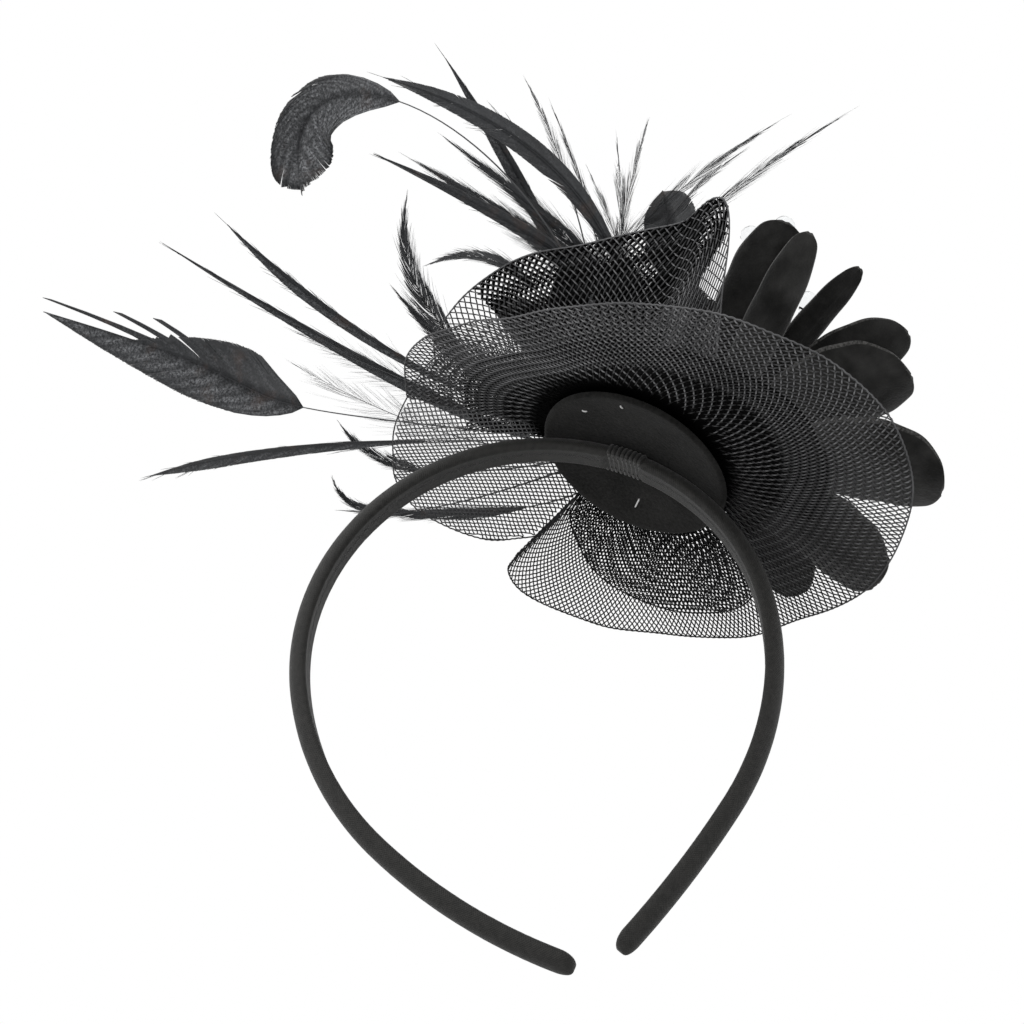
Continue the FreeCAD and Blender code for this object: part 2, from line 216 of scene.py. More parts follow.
def shared(tree, group, laid_by="Object", **values):
    """A shared finish, laid out by the piece's own axes or by its cloth map."""
    node = add_node(tree, "Group", node_tree=group)
    tree.links.new(add_node(tree, "TexCoord").outputs[laid_by], node.inputs["Vector"])
    for key, value in values.items():
        node.inputs[key].default_value = value
    return node.outputs


def two_tone(tree, shader, mask, low, high):
    """Base colour from low to high as the mask rises. low may be a colour or a socket."""
    low = (*low, 1) if isinstance(low, tuple) else low
    mix = add_node(tree, "Mix", data_type="RGBA", Factor=mask, A=low, B=(*high, 1))
    tree.links.new(mix.outputs["Result"], shader.inputs["Base Color"])
    return mix.outputs["Result"]


def add_bump(tree, shader, height, distance):
    bump = add_node(tree, "Bump", Strength=1.0, Distance=distance, Height=height)
    tree.links.new(bump.outputs["Normal"], shader.inputs["Normal"])


def two_tone_finish(name, roughness, specular, group, mask, scale, low, high, start=None, **constants):
    """A whole material in two tones, mixed by one mask of a shared finish."""
    material, tree, shader = finish(name, roughness, specular, **constants)
    values = {"Scale": scale} if start is None else {"Scale": scale, "Start": start}
    two_tone(tree, shader, shared(tree, group, **values)[mask], low, high)
    return material


print("material helpers ready")

# %% Cloth, felt and velvet
cover_cloth, tree, shader = finish("band_cover_cloth", 0.62, 0.35, Sheen_Weight=0.15, Sheen_Roughness=0.4)
weave = shared(tree, woven, "UV", Thread=0.00032)
streak = shared(tree, nap, Scale=700.0)
two_tone(tree, shader, streak["Tint"], (0.013, 0.013, 0.012), (0.029, 0.028, 0.026))
add_bump(tree, shader, maths(tree, "ADD", weave["Height"], streak["Height"]), 0.00006)

felt_cloth, tree, shader = finish("charcoal_felt", 0.95, 0.06, Sheen_Weight=0.08, Sheen_Roughness=0.6)
fuzz = shared(tree, nap, Scale=1100.0)
clouds = shared(tree, dye, Scale=90.0, Start=0.35)
shade = maths(tree, "MULTIPLY", maths(tree, "ADD", fuzz["Tint"], clouds["Patch"]), 0.5)
two_tone(tree, shader, shade, (0.005, 0.005, 0.0045), (0.026, 0.0255, 0.0245))
add_bump(tree, shader, fuzz["Height"], 0.00025)

velvet, tree, shader = finish("black_velvet", 0.85, 0.12, Sheen_Weight=0.3, Sheen_Roughness=0.45)
pile = shared(tree, nap, Scale=1500.0)
clouds = shared(tree, dye, Scale=70.0, Start=0.35)
ground = two_tone(tree, shader, clouds["Patch"], (0.012, 0.012, 0.0115), (0.066, 0.065, 0.063))
# The pale cut edge is partly a painted highlight line: a pale grey band along the petal's sides and tip,
# flecked by the pile.
cut = add_node(tree, "SeparateXYZ", Vector=add_node(tree, "TexCoord").outputs["UV"])
cut_side, cut_tip = 0.472, 0.965  # where the pale cut edge starts, on the petal's cloth map
off_centre = maths(tree, "ABSOLUTE", maths(tree, "SUBTRACT", cut.outputs["X"], 0.5))
sides_cut = maths(tree, "GREATER_THAN", off_centre, cut_side)
tip_cut = maths(tree, "GREATER_THAN", cut.outputs["Y"], cut_tip)
pale_and_painted_light = maths(tree, "MULTIPLY", maths(tree, "MAXIMUM", sides_cut, tip_cut), pile["Tint"])
two_tone(tree, shader, pale_and_painted_light, ground, (0.14, 0.137, 0.133))
add_bump(tree, shader, pile["Height"], 0.0002)
print("made:", cover_cloth.name, felt_cloth.name, velvet.name)

# %% Nylon, cord and feather
nylon, tree, shader = finish("crin_nylon", 0.5, 0.04)
clouds = shared(tree, dye, Scale=60.0, Start=0.4)
# The threads' colour is painted light: a per-point attribute mixes near-black painted shade up to a pale grey
# painted highlight, and the dye clouds dull it at random.
painted_light = add_node(tree, "Attribute", attribute_name="painted_light")
dulled = maths(tree, "SUBTRACT", 1.0, maths(tree, "MULTIPLY", clouds["Patch"], 0.4))
even = maths(tree, "MULTIPLY", painted_light.outputs["Fac"], dulled)
two_tone(tree, shader, even, (0.0015, 0.0015, 0.0016), (0.4, 0.4, 0.41))

cord_cloth, tree, shader = finish("binding_cord", 0.6, 0.35, Sheen_Weight=0.2)
twist = shared(tree, nap, Scale=1600.0)
two_tone(tree, shader, twist["Tint"], (0.014, 0.014, 0.013), (0.040, 0.039, 0.037))
add_bump(tree, shader, twist["Height"], 0.00012)

plumage, tree, shader = finish("dyed_feather", 0.42, 0.5, Sheen_Weight=0.1)
thin = shared(tree, dye, Scale=120.0, Start=0.58)
tone = shared(tree, dye, Scale=45.0, Start=0.35)
speckle = shared(tree, nap, Scale=1400.0)
# Painted sheen: a per-point attribute mixes in pale grey, flecked by the nap, where barbs would reflect the
# light.
silver = add_node(tree, "Attribute", attribute_name="silver")
painted_sheen_mix = maths(tree, "MULTIPLY", silver.outputs["Fac"], maths(tree, "POWER", speckle["Tint"], 1.6))
blue_black = two_tone(tree, shader, tone["Patch"], (0.009, 0.010, 0.012), (0.022, 0.024, 0.028))
browned = two_tone(tree, shader, thin["Patch"], blue_black, (0.050, 0.032, 0.026))
two_tone(tree, shader, painted_sheen_mix, browned, (0.42, 0.43, 0.45))
print("made:", nylon.name, cord_cloth.name, plumage.name)

# %% Thread, steel, clear drops and the floor
stitching = two_tone_finish(
    "pale_thread", 0.6, 0.4, nap, "Tint", 2500.0, (0.76, 0.755, 0.75), (0.92, 0.92, 0.91)
)
spring = two_tone_finish(
    "spring_strip", 0.35, 0.5, nap, "Tint", 500.0, (0.36, 0.36, 0.37), (0.52, 0.52, 0.54), Metallic=1.0
)
clear = two_tone_finish(
    "clear_drop", 0.04, 0.5, dye, "Patch", 300.0, (0.97, 0.98, 0.98), (0.90, 0.91, 0.92),
    start=0.3, Transmission_Weight=1.0, IOR=1.33
)
studio_floor = two_tone_finish(
    "pale_floor", 0.8, 0.2, dye, "Patch", 2.0, (0.86, 0.86, 0.86), (0.90, 0.90, 0.90), start=0.2
)
floor.data.materials.append(studio_floor)
print("materials:", len(bpy.data.materials))

# %% [markdown]
# ## Where the trimming sits
# The trimming has its own axes: x along the band, y across it and z outwards. One matrix carries every
# piece to its seat, 32 degrees from the crown, so each piece can be modelled flat on the bench and then put
# on the band.
# %% The seat
crown_radius = frame["record"]["mounts"][0]["dims"]["r_mm"]
seat_angle = 32.0
seat_travel = math.radians(seat_angle) * crown_radius
seat_tilt = 9.0
seat = (
    Matrix.Scale(mm, 4)
    @ Matrix.Rotation(math.radians(seat_angle), 4, "Y")
    @ Matrix.Translation((0, 0, crown_radius))
    @ Matrix.Rotation(math.radians(-seat_tilt), 4, "X")
)
bench = Matrix.Scale(mm, 4)  # for what is modelled in the hoop's own axes
print("seat at", [round(x, 4) for x in seat.translation])


# %% Finishing a piece
least_fill = 0.31  # of its flat rectangle, for a piece of cloth


def settle(piece, material, nodes, put=seat):
    """Puts a finished mesh in place, gives it its finish, hangs it from the root body and hides the CAD
    nodes that it stands for.
    """
    piece.data.transform(put)
    piece.data.materials.clear()
    piece.data.materials.append(material)
    piece.data.shade_smooth()
    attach(piece, "root")
    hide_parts(*nodes)
    return piece


def mesh_piece(name, points, faces):
    mesh = bpy.data.meshes.new(name)
    mesh.from_pydata([tuple(p) for p in points], [], faces)
    piece = bpy.data.objects.new(name, mesh)
    scene.collection.objects.link(piece)
    return piece


def mark(piece, name, values, sides=3):
    """Gives each point of a strand a value that its material can read."""
    shown = piece.data.attributes.new(name, "FLOAT", "POINT")
    shown.data.foreach_set("value", np.repeat(np.concatenate(values), sides).clip(0, 1).astype(np.float32))


def apply_modifier(piece, name, kind, **settings):
    modifier = piece.modifiers.new(name, kind)
    for key, value in settings.items():
        setattr(modifier, key, value)
    bpy.ops.object.select_all(action="DESELECT")
    piece.select_set(True)
    bpy.context.view_layer.objects.active = piece
    bpy.ops.object.modifier_apply(modifier=name)


print("finishing helpers ready")


# %% Lines and strands
def length_rows(rows):
    """Each row scaled to a length of one."""
    return rows / np.maximum(np.linalg.norm(rows, axis=-1, keepdims=True), 1e-9)


def distances(line):
    """How far along a line each of its points is."""
    return np.concatenate([[0], np.cumsum(np.linalg.norm(np.diff(line, axis=0), axis=1))])


def look_up(places, along, rows):
    """Rows of three numbers, read off at any array of places."""
    return np.stack([np.interp(places, along, rows[:, k]) for k in range(3)], -1)


def tube_faces(rings, sides, start=0):
    """Faces between neighbouring rings of points, and one that closes each end."""
    step = np.arange(sides)
    firsts = start + np.arange(rings - 1)[:, None] * sides
    near, far = firsts + step, firsts + (step + 1) % sides
    faces = np.stack([near, near + sides, far + sides, far], -1).reshape(-1, 4).tolist()
    last = start + (rings - 1) * sides
    return faces + [[start + k for k in range(sides)], [last + k for k in reversed(range(sides))]]


def strands(runs, sides=3):
    """Closed tubes along many lines. A run is (points, radii, normals, flatness). All but the points may be
    given once for a whole line."""
    angles = np.arange(sides) * 2 * math.pi / sides
    points_out, faces, start = [], [], 0
    for points, radii, normals, flatness in runs:
        along = length_rows(np.gradient(points, axis=0))
        side = length_rows(np.cross(along, normals))
        up = np.cross(side, along) * flatness
        ring = np.cos(angles)[None, :, None] * side[:, None] + np.sin(angles)[None, :, None] * up[:, None]
        radii = np.broadcast_to(radii, len(points))
        points_out.append((points[:, None] + ring * radii[:, None, None]).reshape(-1, 3))
        faces += tube_faces(len(points), sides, start)
        start += len(points) * sides
    return np.concatenate(points_out), faces


def flow(points, count):
    """A smooth line of count points through the given ones."""
    points = np.array(points, float)
    padded = np.vstack([2 * points[0] - points[1], points, 2 * points[-1] - points[-2]])
    place = np.linspace(0, len(points) - 1, count)
    span = np.minimum(place.astype(int), len(points) - 2)
    t = (place - span)[:, None]
    a, b, c, d = (padded[span + k] for k in range(4))
    return 0.5 * (2 * b + (c - a) * t + (2 * a - 5 * b + 4 * c - d) * t**2 + (3 * b - a - 3 * c + d) * t**3)


print("strand helpers ready")

# %% [markdown]
# ## Hair band cover
# The band is a sprung strip in a tight black sleeve, domed outside and flat inside, with a fine ridge at
# each inner edge where the cloth turns. A lofted tube could be drawn with a curve and a bevel object. Rings
# of points laid along the hoop's arcs give rounded tips and a cloth map in true metres, which the weave
# follows.
# %% The hoop's line
band_width, band_thickness, edge_radius, ridge_height = 7.6, 3.8, 0.9, 0.14
hoop_arcs = {1: [(75.0, 41.5), (264.0, 9.8)], -1: [(75.0, 37.0), (141.0, 23.5)]}
quarter = crown_radius * math.pi / 2


def hoop_point(travel):
    """Inner face of the band at a distance from the crown, positive towards +X, and the way outwards."""
    side = 1 if travel > 0 else -1
    left = abs(travel)
    centre, radius, heading = Vector((0, 0, 0)), crown_radius, 0.0
    for next_radius, sweep in [(crown_radius, 90.0)] + hoop_arcs[side]:
        out = Vector((side * math.sin(heading), 0, math.cos(heading)))
        centre = centre + out * (radius - next_radius)
        radius = next_radius
        turn = min(left / radius, math.radians(sweep))
        heading += turn
        left -= turn * radius
        if left <= 1e-9:
            break
    out = Vector((side * math.sin(heading), 0, math.cos(heading)))
    return centre + out * radius, out


def arm_length(side):
    return quarter + sum(radius * math.radians(sweep) for radius, sweep in hoop_arcs[side])


print("arms:", [round(arm_length(side), 1) for side in (1, -1)], "mm from the crown")


# %% Its section, swept from tip to tip
def band_section(grow=0.0):
    """Points round the D section as (across, out), from the middle of the flat inner face."""
    half, corner = band_width / 2 + grow, edge_radius + grow
    points = [(0.35 * half * k, -grow) for k in range(3)]
    for k in range(5):
        angle = math.radians(-90 + 22.5 * k)
        reach = corner + ridge_height * math.exp(-((k - 1.5) ** 2))
        points.append((half - corner + reach * math.cos(angle), edge_radius + reach * math.sin(angle)))
    rise = band_thickness + grow - edge_radius
    dome = (half**2 + rise**2) / (2 * rise)
    top = math.asin(half / dome)
    for k in range(1, 7):
        angle = top * (1 - k / 7)
        points.append((dome * math.sin(angle), edge_radius + rise - dome + dome * math.cos(angle)))
    mirrored = [(-across, out) for across, out in reversed(points[1:])]
    return points + [(0.0, band_thickness + grow)] + mirrored


section = np.array(band_section())
girth = distances(section)
right_end, left_end = arm_length(1), -arm_length(-1)
tip = band_width / 2
close = tip * (1 - np.cos(np.linspace(0.08, 1, 9) * math.pi / 2))
middle_run = np.linspace(left_end + tip, right_end - tip, 330)[1:-1]
travels = np.concatenate([left_end + close, middle_run, (right_end - close)[::-1]])
ripple = np.random.default_rng(4)
bound_length, bound_depth = 5.3, 0.62  # the flat face is pressed in under the cord
rings, cover_uv = [], []
for travel in travels:
    bound = abs(travel - seat_travel) < bound_length
    point, out = hoop_point(travel)
    short = min(travel - left_end, right_end - travel, tip)
    narrow = math.sqrt(max(1 - ((tip - short) / tip) ** 2, 0.0))
    flat = 0.45 + 0.55 * narrow
    pucker = 1 + ripple.normal(0, 0.004)
    for (across, rise), around in zip(section, girth):
        rise = max(rise, bound_depth) if bound else rise
        centred = band_thickness / 2 + (rise - band_thickness / 2) * flat * pucker
        rings.append(point + out * centred + Vector((0, across * narrow * pucker, 0)))
        cover_uv.append((travel * mm, around * mm))
band_cover = mesh_piece("band_cover", rings, tube_faces(len(travels), len(section)))
layer = band_cover.data.uv_layers.new(name="UVMap")
for loop in band_cover.data.loops:
    layer.data[loop.index].uv = cover_uv[loop.vertex_index]
apply_modifier(band_cover, "wall", "SOLIDIFY", thickness=0.55, offset=-1)
settle(band_cover, cover_cloth, ["headband_cover"], bench)
sleeve_girth = (girth[-1] + np.linalg.norm(section[-1] - section[0])) * mm
flat = (sleeve_girth, (right_end - left_end) * mm)
core = frame["nodes"]["headband_core"]
core.data.materials.clear()
core.data.materials.append(spring)
print("band cover:", len(band_cover.data.polygons), "faces, sleeve", round(sleeve_girth / mm, 1), "mm round")

# %% [markdown]
# ## Binding
# Waxed cord holds the trimming to the band in eight turns laid side by side. Rings would do from afar, but
# the real cord climbs from one turn to the next, so it is one helix that follows the band's section.
# %% The cord winding
wrap_count, wrap_pitch, cord_radius, cord_lift = 8, 1.3, 0.56, 0.62
cord_floor, cord_squash = 0.31, 0.55  # on the flat face, where the cord is pressed flat
wrap_line = np.array(band_section(cord_lift))
pressed = np.where(wrap_line[:, 1] < cord_floor, cord_squash, 1.0)
wrap_line[:, 1] = np.maximum(wrap_line[:, 1], cord_floor)
wrap_jitter = np.random.default_rng(9).normal(0, 0.05, wrap_count + 1)
cord_points, cord_normals = [], []
per_turn = len(wrap_line)
for step in range(wrap_count * per_turn + 1):
    turn = step / per_turn
    across, rise = wrap_line[step % per_turn]
    shift = (turn - wrap_count / 2) * wrap_pitch + np.interp(turn, range(wrap_count + 1), wrap_jitter)
    travel = seat_travel + shift * crown_radius / (crown_radius + 2)
    point, out = hoop_point(travel)
    cord_points.append(point + out * rise + Vector((0, across, 0)))
    cord_normals.append((out * (rise - band_thickness / 2) + Vector((0, across, 0))).normalized())
squash = np.array([pressed[step % per_turn] for step in range(len(cord_points))])[:, None]
cord_run = (np.array(cord_points), cord_radius, np.array(cord_normals), squash)
binding = mesh_piece("binding", *strands([cord_run], 8))
settle(binding, cord_cloth, ["binding_wraps"], bench)
print("binding:", wrap_count, "turns,", len(binding.data.polygons), "faces")

# %% [markdown]
# ## Felt disc and pad
# Two rounds of felt hold the crin between them. The lower one is gently dished, with its rim towards the
# head. A cylinder would be flat and sharp: a circle is extruded inwards ring by ring instead, each ring
# lifted to the dish, and then given its thickness and a soft rolled rim.
# %% A felt round
disc_radius, disc_thickness, disc_sag = 27.3, 2.4, 4.28
pad_radius, pad_thickness, pad_shift = 19.5, 1.2, 4.0
disc_floor, disc_top, pad_floor, trim_floor = 5.3, 7.7, 8.0, 9.5
felt_rings, rim_thinning = 14, 0.9
disc_sphere = (disc_radius**2 + disc_sag**2) / (2 * disc_sag)
dish_centre = Matrix.Translation((0, 0, disc_floor - disc_sphere))
disc_slide = dish_centre @ Matrix.Rotation(math.radians(1.6), 4, (-0.3, 1, 0)) @ dish_centre.inverted()


def felt_round(name, node, radius, thickness, floor_height, sphere, shift, seed):
    """A round of felt. sphere is the radius of its dish, or None where it is flat."""
    bpy.ops.object.select_all(action="DESELECT")
    bpy.ops.mesh.primitive_circle_add(vertices=120, radius=radius, fill_type="NOTHING")
    piece = bpy.context.object
    piece.name = name
    bpy.ops.object.mode_set(mode="EDIT")
    bpy.ops.mesh.select_all(action="SELECT")
    for ring in range(felt_rings, 1, -1):
        bpy.ops.mesh.extrude_edges_move()
        share = (ring - 1) / ring
        bpy.ops.transform.resize(value=(share, share, 1), center_override=(0, 0, 0))
    bpy.ops.mesh.edge_face_add()
    bpy.ops.mesh.select_all(action="SELECT")
    bpy.ops.mesh.normals_make_consistent(inside=False)
    bpy.ops.object.mode_set(mode="OBJECT")
    if piece.data.polygons[0].normal.z < 0:
        piece.data.flip_normals()
    uneven = np.random.default_rng(seed)
    bumps = [(uneven.uniform(2, 6), uneven.uniform(0, 6.3), uneven.uniform(0.05, 0.12)) for _ in range(5)]
    for vertex in piece.data.vertices:
        x, y = vertex.co.xy
        around, out = math.atan2(y, x), math.hypot(x, y)
        sink = sphere - math.sqrt(sphere**2 - out**2) if sphere else 0.0
        thinned = rim_thinning * (out / radius) ** 8 if sphere else 0.0
        wave = sum(size * math.sin(round(k) * around + phase) for k, phase, size in bumps)
        wave *= (out / radius) ** 2
        top = floor_height - sink + wave * 0.3 + thickness - thinned
        vertex.co = (x * (1 + 0.12 * wave / radius) + shift, y, top)
    apply_modifier(piece, "felt", "SOLIDIFY", thickness=thickness, offset=-1)
    if sphere:
        for vertex in piece.data.vertices:
            under = floor_height - sphere + math.sqrt(sphere**2 - vertex.co.xy.length_squared)
            vertex.co.z = max(vertex.co.z, under)
        piece.data.transform(disc_slide)
    roll = 0.3 * min(thickness, 1.6)
    apply_modifier(piece, "soft_rim", "BEVEL", width=roll, segments=3, angle_limit=0.9)
    settle(piece, felt_cloth, [node])
    return piece


disc = felt_round(
    "disc_felt", "felt_disc", disc_radius, disc_thickness, disc_floor, disc_sphere, 0.0, 1
)
pad = felt_round("pad_felt", "felt_pad", pad_radius, pad_thickness, pad_floor, None, pad_shift, 2)
print("felt:", [len(piece.data.polygons) for piece in (disc, pad)], "faces")

# %% [markdown]
# ## Stitches
# Three pale stitches show under the felt. A straight rod looks like a pin, so each is a short curved strand
# that dips into the felt at both ends and has rounded tips.
# %% Stitches
stitch_radius, stitch_length, stitch_points = 0.22, 4.0, 13
stitch_runs = []
for x, y, heading, share in ((3.0, 18.8, 105.0, 1.0), (-12.7, -13.9, 0.0, 0.35), (-1.7, -21.4, 60.0, 0.3)):
    places = np.linspace(-0.5, 0.5, stitch_points)
    angle = math.radians(heading)
    xs = x + math.cos(angle) * places * stitch_length * share
    ys = y + math.sin(angle) * places * stitch_length * share
    under = disc_floor - disc_sphere + np.sqrt(disc_sphere**2 - xs**2 - ys**2) - stitch_radius
    line = np.stack([xs, ys, under + 0.5 * (2 * places) ** 4], -1)
    radii = stitch_radius * np.sqrt(np.maximum(1 - (2 * places) ** 8, 0.05))
    stitch_runs.append((line, radii, (0, 0, 1.0), 1.0))
stitches = mesh_piece("stitches", *strands(stitch_runs, 8))
settle(stitches, stitching, ["disc_stitches"])
print("stitches:", len(stitch_runs))

# %% [markdown]
# ## Crin
# Crin is a braid of stiff nylon threads in two families that cross over and under each other on the slant.
# One edge is drawn up into a gathered foot and the other stands out as a ruffled rim, so the cells are open
# at the rim and crowd together at the foot. A plane with a see-through texture loses that depth. Here every
# thread is a real strand that runs over the fan's surface, and both families bob up and down where they
# cross. Where they crowd, some threads are tucked behind and painted dark as shade, and where the crin is
# folded double, a second layer lies behind the first, painted dark as shade. Each thread's colour carries
# painted light: a painted highlight where it lies on top and towards the top, painted shade below, where it
# lies under and near the foot, and less light on the second family. The two layers that lie ungathered keep
# square cells.
# %% A fan's surface
crin_thickness, crin_inner_radius, crin_step, crin_gap = 0.7, 20.0, 1.1, 0.3
crin_floor = disc_top - disc_sphere + math.sqrt(disc_sphere**2 - crin_inner_radius**2) + crin_gap
thread_pitch, thread_radius, thread_bob = 1.95, 0.225, 0.15
waist_share, belly_share, over_disc = 0.2, 0.6, 0.7
ruffle_height, long_ruffle, short_ruffle = 0.35, 7.3, 4.1


def polar(radius, degrees, height):
    angle = np.radians(degrees)
    return np.stack([radius * np.cos(angle), radius * np.sin(angle), height], -1)


def fan_surface(rim, layer, gather, bulge, phase):
    """A grid of points from foot to rim, which way each line of it faces, and lengths along the rim."""
    fine = flow(rim, 40 * len(rim))
    degrees, radius, height = fine.T
    rims = polar(radius, degrees, height)
    foot_radius = crin_inner_radius + layer
    foot_height = np.full(len(fine), crin_floor + layer * crin_step)
    feet = polar(np.full(len(fine), foot_radius), rim[0][0] + (degrees - rim[0][0]) * gather, foot_height)
    across = rims - feet
    out = length_rows(np.cross(across, np.gradient(rims, axis=0)))
    out *= np.where(out[:, 2:] < 0, -1, 1)
    waist = feet + across * waist_share
    rest = disc_top + over_disc + layer * crin_step
    sink = disc_sphere - np.sqrt(np.maximum(disc_sphere**2 - waist[:, 0] ** 2 - waist[:, 1] ** 2, 0))
    waist += out * np.maximum(0, rest - sink - waist[:, 2])[:, None]
    belly = feet + across * belly_share + out * bulge
    share = np.linspace(0, 1, 61)
    lines = np.stack([feet, waist, belly, rims], 1)
    grid = np.stack([look_up(share, (0, waist_share, belly_share, 1), line) for line in lines])
    for _ in range(6):
        grid[:, 1:-1] = (grid[:, :-2] + 2 * grid[:, 1:-1] + grid[:, 2:]) / 4
    along = distances(rims)
    wave = np.sin(along / long_ruffle + phase) + 0.6 * np.sin(along / short_ruffle + 2 * phase)
    lift = crin_thickness / 2 + ruffle_height * wave[:, None] * share**2
    grid = grid + out[:, None] * lift[..., None]
    return grid, out, along


def sample(grid, rows, columns):
    """Points of a grid at fractional rows and columns."""
    rows = np.clip(rows, 0, grid.shape[0] - 1.001)
    columns = np.clip(columns, 0, grid.shape[1] - 1.001)
    r, c = rows.astype(int), columns.astype(int)
    fr, fc = (rows - r)[:, None], (columns - c)[:, None]
    low = grid[r, c] * (1 - fc) + grid[r, c + 1] * fc
    high = grid[r + 1, c] * (1 - fc) + grid[r + 1, c + 1] * fc
    return low * (1 - fr) + high * fr


print("crin floor", round(crin_floor, 2), "mm above the band's inner face")

# %% Threads over a fan
tuck_at, tuck_blend, tuck_depth = (0.0, 0.6, 0.42, 0.6), 0.06, 0.35
tuck_stoutness, hem_taper, lining_steep = 0.9, 0.35, 1.0
# Painted light on the threads: painted shade inside the first radius, at the foot, then the shares of painted
# highlight kept by a thread that lies under, by the second family and by the edge strands.
shaded_foot_radius, under_thread_light, far_family_light = 28.5, 0.04, 0.45
edge_thread, edge_bob, edge_strand_light = 0.26, 0.12, 0.55


def painted_light_at(points):
    """How much painted light a thread's colour gets: a painted highlight that fades below, where the crin
    stands against the light, and painted shade at the foot.
    """
    radius, around = np.hypot(points[:, 0], points[:, 1]), np.arctan2(points[:, 1], points[:, 0])
    return (0.55 - 0.45 * np.sin(around)) * np.clip((radius - shaded_foot_radius) / 4, 0, 1)


def braid(grid, out, depth, steep=0.72, start=0.0, stop=1.0, hem=0.0, lining=False):
    """Both families of threads, drawn in at the foot. Where they crowd, every second one and then three of
    every four are tucked behind, stouter and painted dark as shade, and a lining is tucked all over and
    painted dark as shade. A thread's colour gets a painted highlight where it lies over the other family and
    painted shade where it lies under, and the second family gets less. start and stop are shares of the
    rim's length, and hem is the share of the depth that the threads leave free at the rim."""
    reach_out = np.hypot(grid[:, -1, 0], grid[:, -1, 1])
    turned = np.unwrap(np.arctan2(grid[:, -1, 1], grid[:, -1, 0]))
    steps = np.hypot(np.diff(turned) * reach_out[1:], np.diff(grid[:, -1, 2]))
    steps *= 1 + 0.2 * np.sin(turned[1:])
    along = np.concatenate([[0], np.cumsum(np.hypot(steps, 0.35 * np.diff(reach_out)))])
    total, deepest = along[-1], depth.max()
    lines = range(-int(deepest / thread_pitch) - 1, int((total + deepest) / thread_pitch) + 2)
    runs = []
    for slant in (1, -1):
        for index in lines:
            bobs = np.arange(0, int(2 * deepest * steep / thread_pitch) + 2, 2 if lining else 1)
            inward = bobs * thread_pitch / 2 / steep
            at = (index + 0.5 * lining) * thread_pitch + slant * bobs * thread_pitch / 2
            rows = np.interp(at, along, np.arange(len(along)))
            reach = np.interp(at, along, depth)
            keep = (at >= start * total) & (at <= stop * total)
            keep &= (inward <= reach) & (inward >= hem * reach)
            if keep.sum() < 3:
                continue
            rows, reach, inward, bobs = rows[keep], reach[keep], inward[keep], bobs[keep]
            points = sample(grid, rows, (1 - inward / reach) * (grid.shape[1] - 1))
            normals = out[rows.astype(int)]
            drawn = np.hypot(points[:, 0], points[:, 1])
            drawn /= np.interp(rows, np.arange(len(reach_out)), reach_out)
            tucked = np.clip((tuck_at[index % 4] - drawn) / tuck_blend, 0, 1)
            tucked = np.maximum(tucked, lining)
            bob = slant * (-1.0) ** bobs
            sunk = tuck_depth * tucked + bob * thread_bob * (1 - 0.5 * inward / reach)
            # Painted light in the thread's colour: none where tucked, a painted highlight on top, painted
            # shade under, and less on the second family.
            painted_light = painted_light_at(points) * (1 - tucked) * np.where(bob < 0, 1.0, under_thread_light)
            painted_light *= far_family_light if slant < 0 else 1.0
            stout = tuck_stoutness * tucked * np.clip(0.5 - points[:, 1] / 30, 0, 1)
            if hem:
                stout *= np.clip((inward / reach - hem) / hem_taper, 0, 1)
            points += normals * sunk[:, None]
            runs.append((points, thread_radius * (1 + stout), normals, painted_light))
    return runs


print("threads", thread_pitch, "mm apart and", 2 * thread_radius, "mm across")


# %% Threads that lie ungathered
laid_heading, laid_lines = 25, 68


def laid_braid(grid, out, rim, foot_radius):
    """Both families of threads where the crin lies ungathered: straight, square to each other."""
    degrees, radius, _ = flow(rim, grid.shape[0]).T
    spacing = thread_pitch / math.sqrt(2)
    runs = []
    for slant in (1, -1):
        heading = math.radians(laid_heading + 45 * slant)
        for line in range(-laid_lines, laid_lines + 1):
            steps = np.arange(-laid_lines, laid_lines + 1)
            xs = spacing * (steps * math.cos(heading) - slant * line * math.sin(heading))
            ys = spacing * (steps * math.sin(heading) + slant * line * math.cos(heading))
            angles = (np.degrees(np.arctan2(ys, xs)) - degrees[0]) % 360 + degrees[0]
            rows = np.interp(angles, degrees, np.arange(len(degrees)))
            share = (np.hypot(xs, ys) - foot_radius) / (np.interp(angles, degrees, radius) - foot_radius)
            keep = (angles >= degrees[0]) & (angles <= degrees[-1]) & (share >= 0) & (share <= 1)
            kept = np.flatnonzero(keep)
            for part in np.split(kept, np.flatnonzero(np.diff(kept) > 1) + 1):
                if len(part) < 3:
                    continue
                normals = out[rows[part].astype(int)]
                bob = slant * thread_bob * (-1.0) ** (steps[part] + line)
                points = sample(grid, rows[part], share[part] * (grid.shape[1] - 1)) + normals * bob[:, None]
                # The threads' colour takes painted light from where they lie.
                runs.append((points, thread_radius, normals, painted_light_at(points)))
    return runs


print("laid threads cross", round(thread_pitch / math.sqrt(2), 2), "mm apart")


